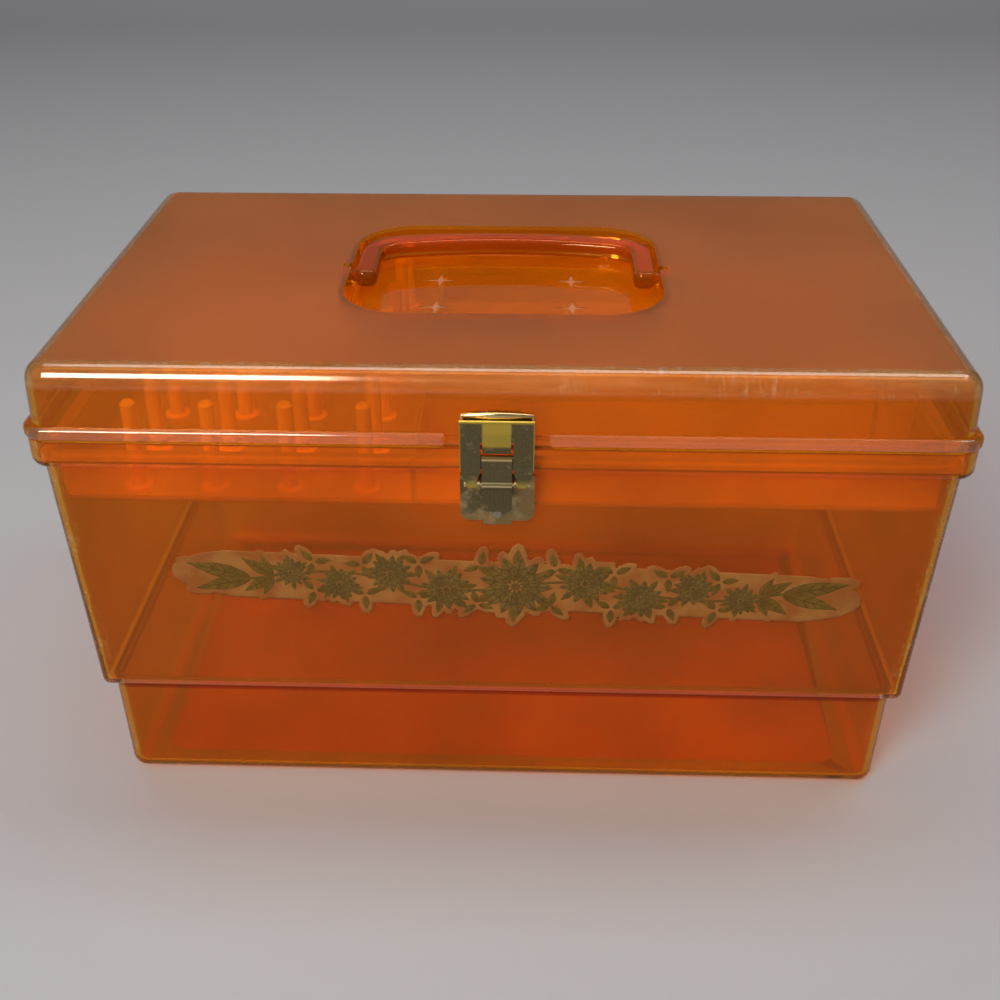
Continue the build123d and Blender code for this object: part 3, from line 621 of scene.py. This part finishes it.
def brass(name, dullness, roughness, bright_places=None, bright=PALE_GOLD):
    """Brass with tarnish by the share dullness, and the bright colour where the given mask says
    so.
    """
    material, tree, output = new_material(name)
    shader = node(tree, "ShaderNodeBsdfPrincipled", Metallic=1.0)
    tarnish = group_node(tree, tarnish_group, Scale=150.0)
    specks = tarnish.outputs["Specks"]
    middle = 1.0 - dullness
    low, high = max(0.0, middle - CLOUD_SOFT), min(1.0, middle + CLOUD_SOFT)
    dull = blend(tree, beyond(tree, specks, 0.35, 0.7), OLIVE, GREY_OLIVE)
    cloud = beyond(tree, tarnish.outputs["Cloud"], low, high)
    tint = blend(tree, cloud, PALE_GOLD, dull)
    rough = math_node(tree, "ADD", times(tree, cloud, ROUGHER_DULL), roughness)
    if bright_places:
        mask = bright_places(tree)
        # On the catch the mask marks rubbed brass with painted glints on edges and bends; on the
        # bracket, its coppery places.
        tint = blend(tree, mask, tint, bright)
        rough = math_node(tree, "SUBTRACT", rough, times(tree, mask, SMOOTHER_RUBBED))
    tree.links.new(tint, shader.inputs["Base Color"])
    tree.links.new(rough, shader.inputs["Roughness"])
    bump = node(tree, "ShaderNodeBump", {"Height": specks}, Strength=0.15, Distance=0.05 * MM)
    tree.links.new(bump.outputs[0], shader.inputs["Normal"])
    tree.links.new(shader.outputs[0], output.inputs["Surface"])
    return material


hinge_pieces = ["hinge_base_leaf_left", "hinge_base_leaf_right", "hinge_lid_leaf_left",
                "hinge_lid_leaf_right", "hinge_pin_left", "hinge_pin_right",
                "hinge_base_rivets", "hinge_lid_rivets"]
dress(brass("brass_bright", dullness=0.3, roughness=0.2), "latch_pin", *hinge_pieces)

# %% [markdown]
# Each piece of the catch is bright in its own places: rubbed, with painted glints on edges and
# bends, and coppery on the bracket. A piece says where with a few heights and widths, in mm of
# the box, and gets its brass with that mask.

# %% Rubbed places of the catch
def frame_rub_and_glints(tree):
    """The frame's lip, the tongue between its slots, the side flanges and the curled ends: rubbed,
    with painted glints.
    """
    x, y, z = axes_of(tree)
    aside = absolute(tree, x)
    lip = over(tree, z, 182.4, 0.2)
    tongue = times(tree, under(tree, aside, 5.2, 0.4), over(tree, z, 173.5, 0.7))
    flange = times(tree, over(tree, aside, 13.15, 0.25), 0.7)
    curl = times(tree, under(tree, z, 158.0, 1.5), 0.8)
    return either(tree, lip, tongue, flange, curl)


def strip_rub_and_glints(tree):
    """The strip's top edge, rubbed with a painted glint, and a painted glint along the bend where
    its ribs begin.
    """
    x, y, z = axes_of(tree)
    from_bend = absolute(tree, math_node(tree, "SUBTRACT", z, 157.0 * MM))
    return either(tree, over(tree, z, 167.3, 0.3), under(tree, from_bend, 0.35, 0.15))


def keeper_rub_and_glint(tree):
    """The keeper's curled top, rubbed, with a painted glint."""
    x, y, z = axes_of(tree)
    return over(tree, z, 182.7, 0.7)


def bracket_coppery_places(tree):
    """The bracket's lower tab and its right side, which are coppery."""
    x, y, z = axes_of(tree)
    side = times(tree, over(tree, x, 7.0, 2.0), 0.45)
    return either(tree, side, times(tree, under(tree, z, 141.5, 1.0), 0.5))


dress(brass("brass_frame", 0.78, 0.28, frame_rub_and_glints, YELLOW_BRASS), "latch_frame")
dress(brass("brass_strip", 0.8, 0.3, strip_rub_and_glints), "latch_thumb_strip")
dress(brass("brass_keeper", 0.5, 0.24, keeper_rub_and_glint), "latch_keeper")
dress(brass("brass_bracket", 0.66, 0.3, bracket_coppery_places, COPPERY), "latch_bracket")

# %% [markdown]
# The spring and the rivets of the catch are steel. It has darkened unevenly, so its colour and
# its roughness follow the tarnish as well.

# %% Steel
PALE_STEEL, DARK_STEEL = (0.42, 0.38, 0.30), (0.24, 0.20, 0.14)

steel, tree, output = new_material("steel")
shader = node(tree, "ShaderNodeBsdfPrincipled", Metallic=1.0)
tarnish = group_node(tree, tarnish_group, Scale=300.0)
grey = ramp(tree, tarnish.outputs["Cloud"], [(0.3, PALE_STEEL), (0.7, DARK_STEEL)])
rough = ramp(tree, tarnish.outputs["Specks"], [(0.3, 0.25), (0.7, 0.45)])
tree.links.new(grey, shader.inputs["Base Color"])
tree.links.new(rough, shader.inputs["Roughness"])
tree.links.new(shader.outputs[0], output.inputs["Surface"])
dress(steel, "latch_spring", "latch_bracket_rivets", "latch_keeper_rivets")

# %% [markdown]
# The printed film on the front. The real one is a long die-cut sheet with a dense garland of
# flowers and leaves, cut a little outside the print. This garland is our own: nine asters, the
# largest in the middle, with leaves between them and a spray of leaves that closes each end.
# Every petal and leaf is an oval with a place, a direction, a length and a width in mm, so the
# whole design is a list of ovals. We lay the list out with a few rules.

# %% Rules for the garland
HALF_LENGTH = 132.0
WAVE_HEIGHT, WAVE_LENGTH = 3.2, 15.0


def stem_height(u):
    """The stem waves: v = 3.2 sin(u / 15) mm."""
    return WAVE_HEIGHT * np.sin(np.asarray(u) / WAVE_LENGTH)


def ring(u, v, count, inner, length, width, start=0.0):
    """Ovals in a ring round (u, v): each starts at the inner radius and points outwards."""
    angle = start + np.arange(count) * 2 * math.pi / count
    foot_u, foot_v = u + inner * np.cos(angle), v + inner * np.sin(angle)
    return np.stack([foot_u, foot_v, angle, np.full(count, length), np.full(count, width)], -1)


def fan(side, u, angles, lengths, width_share):
    """Leaves from one point of the stem, pointing to the side's end and spread by the angles."""
    angle = np.where(side > 0, angles, math.pi - angles)
    start = np.full(len(angles), side * u)
    return np.stack([start, stem_height(start), angle, lengths, lengths * width_share], -1)


print("stem reaches", round(float(stem_height(WAVE_LENGTH * math.pi / 2)), 2), "mm off its line")

# %% [markdown]
# An aster of size 1 has two rings of petals, a ring of stamens and a ring of leaves behind.
# Each ring is a count, an inner radius, a length and a width in mm. A smaller aster is a place
# and a size. They stand above and below the film's middle line in turn, and the left side is
# the right side turned half round, which looks less stiff than a mirror image. Threes of small
# leaves fill the gaps, and a spray of four short and two long leaves closes each end.

# %% Lay the garland out
OUTER_PETALS = (13, 2.6, 12.6, 5.4)
INNER_PETALS = (9, 1.6, 8.0, 4.4)
STAMENS = (9, 0.4, 3.0, 1.4)
BACK_LEAVES = (6, 9.0, 9.5, 5.0)
TRIPLE_LEAVES = (3, 0.6, 7.0, 3.6)
SIDE_ASTERS = [(27.0, 3.0, 0.70), (49.0, -3.4, 0.62), (69.0, 2.6, 0.54), (88.0, -2.0, 0.48)]
TRIPLE_PLACES = [(14.0, -9.0), (15.0, 9.5), (38.0, 8.0), (38.0, -9.0),
                 (59.0, 7.5), (60.0, -7.0), (79.0, 6.5), (79.0, -7.5)]
SHORT_SPRAY = (np.array([-1.15, -0.6, 0.6, 1.15]), np.array([11.0, 15.0, 15.0, 11.0]), 0.40)
LONG_SPRAY = (np.array([-0.26, 0.24]), np.array([25.0, 28.0]), 0.30)


def sized(u, v, kind, size, start=0.0):
    """Ring of a kind round (u, v), with its three lengths times the size."""
    count, inner, length, width = kind
    return ring(u, v, count, inner * size, length * size, width * size, start)


asters = [(0.0, 0.0, 1.0)] + [(s * u, s * v, size) for s in (-1, 1) for u, v, size in SIDE_ASTERS]
petals, hearts, leaves = [], [], []
for u, v, size in asters:
    petals += [sized(u, v, OUTER_PETALS, size), sized(u, v, INNER_PETALS, size, start=0.3)]
    hearts.append(sized(u, v, STAMENS, size, start=0.1))
    leaves.append(sized(u, v, BACK_LEAVES, size, start=0.5 + 0.01 * u))
for side in (-1, 1):
    leaves += [fan(side, 95.0, *SHORT_SPRAY), fan(side, 103.0, *LONG_SPRAY)]
    leaves += [ring(side * u, side * v, *TRIPLE_LEAVES, start=0.4 * u) for u, v in TRIPLE_PLACES]
petals, hearts, leaves = (np.concatenate(rows) for rows in (petals, hearts, leaves))
print(len(petals), "petals,", len(hearts), "stamens,", len(leaves), "leaves")

# %% [markdown]
# The film lies on the drafted front wall, so a point of the design is a distance u along it, a
# height v up it and a lift off it. Three directions carry these into the box's frame: the wall
# leans out by 2.6 degrees towards the top and the film is laid on 2 degrees askew.

# %% The wall as a drawing board
WALL_LEAN = math.radians(2.6)
ASKEW = math.radians(2.0)
FILM = 0.15

film_low, film_high = (np.array(corner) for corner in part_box("front_garland"))
film_middle = (film_low + film_high) / 2
out_of_wall = np.array([0.0, -math.cos(WALL_LEAN), -math.sin(WALL_LEAN)])
up_wall = np.array([0.0, -math.sin(WALL_LEAN), math.cos(WALL_LEAN)])
across = np.array([1.0, 0.0, 0.0])
along_film = math.cos(ASKEW) * across - math.sin(ASKEW) * up_wall
up_film = math.sin(ASKEW) * across + math.cos(ASKEW) * up_wall


def on_wall(u, v, lift):
    """Points at (u, v) mm on the film and lift mm off the wall: middle + u a + v b + lift n."""
    flat = u[..., None] * along_film + v[..., None] * up_film
    return film_middle + (flat + (lift - FILM / 2)[..., None] * out_of_wall) * MM


def face_out(faces):
    """The grid runs along the film and up it, so its faces are turned to point off the wall."""
    return faces[:, ::-1]


def lay_on(piece):
    """Puts a piece of the film on the tub, in place of the plain film of the solids."""
    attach(piece, "tub")
    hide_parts("front_garland")
    print(piece.name, len(piece.data.polygons), "faces")


print("film's middle", (film_middle / MM).round(1), "mm")

# %% [markdown]
# The film's outline follows the design at a margin of 1.6 mm, and a plain body 20 mm high with
# blunt round ends fills the gaps. We measure, on a fine grid, how far each point is from the
# nearest oval or from the body, keep the grid's squares that lie inside the margin, and slide
# the outermost points onto the line itself, by half a square at most. That gives one clean
# sheet, where joining hundreds of outlines with booleans would be slow and fragile.

# %% Film outline
MARGIN = 1.6
BODY_HALF, BODY_STRAIGHT, BODY_END = 10.0, 106.0, 25.0
STEP = 0.6
HALF_HEIGHT, SPARE = 22.0, 6.0
FAR = 1e3
LEAST_STEEP = 0.2
SLIDE, LONGEST_SLIDE = 0.9, 0.5 * STEP


def oval_distance(u, v, ovals):
    """Smallest signed distance to the ovals: (|q| - 1) half width, q in the oval's own axes."""
    best = np.full(u.shape, FAR)
    for start_u, start_v, angle, length, width in ovals:
        du, dv = u - start_u, v - start_v
        along = du * math.cos(angle) + dv * math.sin(angle) - length / 2
        aside = -du * math.sin(angle) + dv * math.cos(angle)
        q = np.hypot(along / (length / 2), aside / (width / 2))
        stretch = np.where(q > 1, length / width, 1.0) ** 0.5
        best = np.minimum(best, (q - 1) * width / 2 * stretch)
    return best


def film_field(u, v):
    """Signed distance to the design and to the body behind it, less the margin."""
    past_straight = np.maximum(np.abs(u) - BODY_STRAIGHT, 0.0)
    body = (np.hypot(past_straight / BODY_END, v / BODY_HALF) - 1) * BODY_HALF
    return np.minimum(oval_distance(u, v, np.concatenate([petals, leaves])), body) - MARGIN


def slid(near, field, slope, steep):
    """How far the points near the outline move along one axis: -field slope / steepness."""
    move = np.where(near, -SLIDE * field * slope / steep, 0)
    return np.clip(move, -LONGEST_SLIDE, LONGEST_SLIDE)


u_line = np.arange(-HALF_LENGTH - SPARE, HALF_LENGTH + SPARE, STEP)
v_line = np.arange(-HALF_HEIGHT, HALF_HEIGHT, STEP)
u, v = np.meshgrid(u_line, v_line, indexing="ij")
field = film_field(u, v)
inside = field < 0
keep = inside[:-1, :-1] & inside[1:, :-1] & inside[1:, 1:] & inside[:-1, 1:]
slope_u, slope_v = np.gradient(field, STEP)
steep = np.maximum(slope_u ** 2 + slope_v ** 2, LEAST_STEEP)
near = inside & (field > -1.5 * STEP)
u, v = u + slid(near, field, slope_u, steep), v + slid(near, field, slope_v, steep)
quads = grid_faces(*u.shape)[keep.ravel()]
used, compact = np.unique(quads, return_inverse=True)
print("film", keep.sum(), "squares")

# %% [markdown]
# The sheet gets a back, a film's thickness behind its face, and a rim that joins the two along
# every border edge. A border edge is one that only a single square uses. The film is a matte
# ochre whose tone drifts a little, and the ink on it is as matte, so both share one shader.

# %% Film sheet
def closed_sheet(top, bottom, quads):
    """Points and faces of a sheet with both faces and a rim along its border edges."""
    count = len(top)
    edges = np.concatenate([quads[:, [k, (k + 1) % 4]] for k in range(4)])
    _, first, uses = np.unique(np.sort(edges, 1), axis=0, return_index=True, return_counts=True)
    border = edges[first[uses == 1]]
    rim = np.stack([border[:, 1], border[:, 0], border[:, 0] + count, border[:, 1] + count], -1)
    return np.concatenate([top, bottom]), np.concatenate([quads, quads[:, ::-1] + count, rim])


def matte_print(name):
    """Material, its tree and its matte shader, for the film and the inks."""
    material, tree, output = new_material(name)
    shader = node(tree, "ShaderNodeBsdfPrincipled", Roughness=0.75)
    shader.inputs["Specular IOR Level"].default_value = MATTE_SHINE
    tree.links.new(shader.outputs[0], output.inputs["Surface"])
    return material, tree, shader


DARK_OCHRE, LIGHT_OCHRE = (0.32, 0.098, 0.022), (0.38, 0.15, 0.036)
film_material, tree, shader = matte_print("film_ochre")
drift = noise(tree, place_socket(tree), 90.0, Detail=4.0)
tint = ramp(tree, drift, [(0.40, DARK_OCHRE), (0.60, LIGHT_OCHRE)])
tree.links.new(tint, shader.inputs["Base Color"])

top, back = (on_wall(u, v, np.full(u.shape, lift)).reshape(-1, 3)[used] for lift in (FILM, 0.0))
points, faces = closed_sheet(top, back, face_out(compact.reshape(-1, 4)))
lay_on(mesh_piece("garland_film", points, faces, film_material))

# %% [markdown]
# Each petal and leaf is printed on the film in slightly raised ink. An oval is a grid of two
# parameters: t runs from base to tip and s from side to side. The half width follows
# sin(pi t ^ p), so p sets the widest place, and the lift is a low arch that sinks into the film
# at the outline. All the petals are one array, with one more axis for the oval.

# %% Printed ovals
ROWS, COLUMNS = 12, 7
TIP_CURVE = 0.06
STACK = 0.0006
SUNK = FILM * 0.5


def oval_grid(ovals, lift, arch, power):
    """Points [oval, t, s]: along L t, aside s W/2 sin(pi t^p), lift + arch (1 - s^2) sin(pi t)."""
    t = np.linspace(0.0, 1.0, ROWS)[None, :, None]
    s = np.linspace(-1.0, 1.0, COLUMNS)[None, None, :]
    start_u, start_v, angle, length, width = (ovals[:, k][:, None, None] for k in range(5))
    aside = s * width / 2 * np.sin(math.pi * t ** power)
    along = length * t * (1 - TIP_CURVE * s ** 2)
    u = start_u + along * np.cos(angle) - aside * np.sin(angle)
    v = start_v + along * np.sin(angle) + aside * np.cos(angle)
    stacked = np.arange(len(ovals))[:, None, None] * STACK
    rise = lift + stacked + arch * (1 - s ** 2) * np.sin(math.pi * t)
    outline = (s ** 2 > 0.99) | (t < 0.01) | (t > 0.99)
    uv = np.stack(np.broadcast_arrays(s * 0.5 + 0.5, t), -1)
    return on_wall(u, v, np.where(outline, SUNK, rise)), np.broadcast_to(uv, (*u.shape, 2))


def printed(name, ovals, lift, arch, power, material):
    """Piece with one raised oval for each row of ovals."""
    points, uv = oval_grid(ovals, lift, arch, power)
    starts = np.arange(len(ovals)) * ROWS * COLUMNS
    faces = np.concatenate([grid_faces(ROWS, COLUMNS, first) for first in starts])
    lay_on(mesh_piece(name, points, face_out(faces), material, uv))


print("each oval has", len(grid_faces(ROWS, COLUMNS)), "faces")

# %% [markdown]
# The ink is painted over each oval's own UV, so it turns with the leaf: dark along the outline,
# the midrib and the slanting side veins, dark towards the base, and pale between. The three
# inks differ in tone and in how many side veins they have.

# %% Ink
VEIN_SLANT = 0.18
SHADE = 0.72


def ink(name, light, dark, veins):
    """Ink over the oval's UV: u across gives outline and midrib, v along gives the veins."""
    material, tree, shader = matte_print(name)
    uv = tree.nodes.new("ShaderNodeTexCoord").outputs["UV"]
    parts = node(tree, "ShaderNodeSeparateXYZ", {0: uv})
    off_middle = math_node(tree, "SUBTRACT", parts.outputs["X"], 0.5)
    aside, along = absolute(tree, times(tree, off_middle, 2.0)), parts.outputs["Y"]
    slant = math_node(tree, "SUBTRACT", along, times(tree, aside, VEIN_SLANT))
    wave = math_node(tree, "SINE", times(tree, slant, 2 * math.pi * veins))
    outline, midrib = beyond(tree, aside, 0.72, 0.95), beyond(tree, aside, 0.1, 0.02)
    side_veins = beyond(tree, wave, 0.55, 1.0, most=0.7)
    base = beyond(tree, along, 0.4, 0.0, most=0.8)
    patches = noise(tree, place_socket(tree), 220.0, Detail=3.0)
    pale = ramp(tree, patches, [(0.35, tuple(c * SHADE for c in light)), (0.65, light)])
    lines = either(tree, outline, midrib, side_veins, base)
    tree.links.new(blend(tree, lines, pale, dark), shader.inputs["Base Color"])
    return material


leaf_ink = ink("leaf_ink", light=(0.215, 0.112, 0.018), dark=(0.105, 0.055, 0.011), veins=6.0)
petal_ink = ink("petal_ink", light=(0.20, 0.112, 0.026), dark=(0.085, 0.050, 0.014), veins=3.0)
heart_ink = ink("heart_ink", light=(0.30, 0.16, 0.04), dark=(0.07, 0.038, 0.010), veins=1.0)
printed("garland_leaves", leaves, FILM + 0.02, arch=0.05, power=0.8, material=leaf_ink)
printed("garland_petals", petals, FILM + 0.09, arch=0.08, power=1.15, material=petal_ink)
printed("garland_stamens", hearts, FILM + 0.24, arch=0.06, power=1.0, material=heart_ink)

# %% [markdown]
# The stem is a raised line of ink that ties the asters together, a strip carried along the
# wave. With s from side to side, its height is v = wave(u) + 0.75 s mm and its lift is a low
# arch of 0.12 (1 - s^2) mm on the film, which sinks into it at both sides.

# %% Stem
STEM_HALF, STEM_ARCH = 0.75, 0.12
STEM_END, STEM_ROWS = HALF_LENGTH - 14.0, 160

s = np.linspace(-1.0, 1.0, 5)
u = np.repeat(np.linspace(-STEM_END, STEM_END, STEM_ROWS)[:, None], len(s), 1)
v = stem_height(u) + s * STEM_HALF
section = np.where(np.abs(s) < 1, FILM + STEM_ARCH * (1 - s ** 2), SUNK)
points = on_wall(u, v, np.broadcast_to(section, u.shape))
uv = np.stack(np.broadcast_arrays(0.5 + 0.25 * s, np.full_like(u, 0.6)), -1)
lay_on(mesh_piece("garland_stem", points, face_out(grid_faces(*u.shape)), leaf_ink, uv))
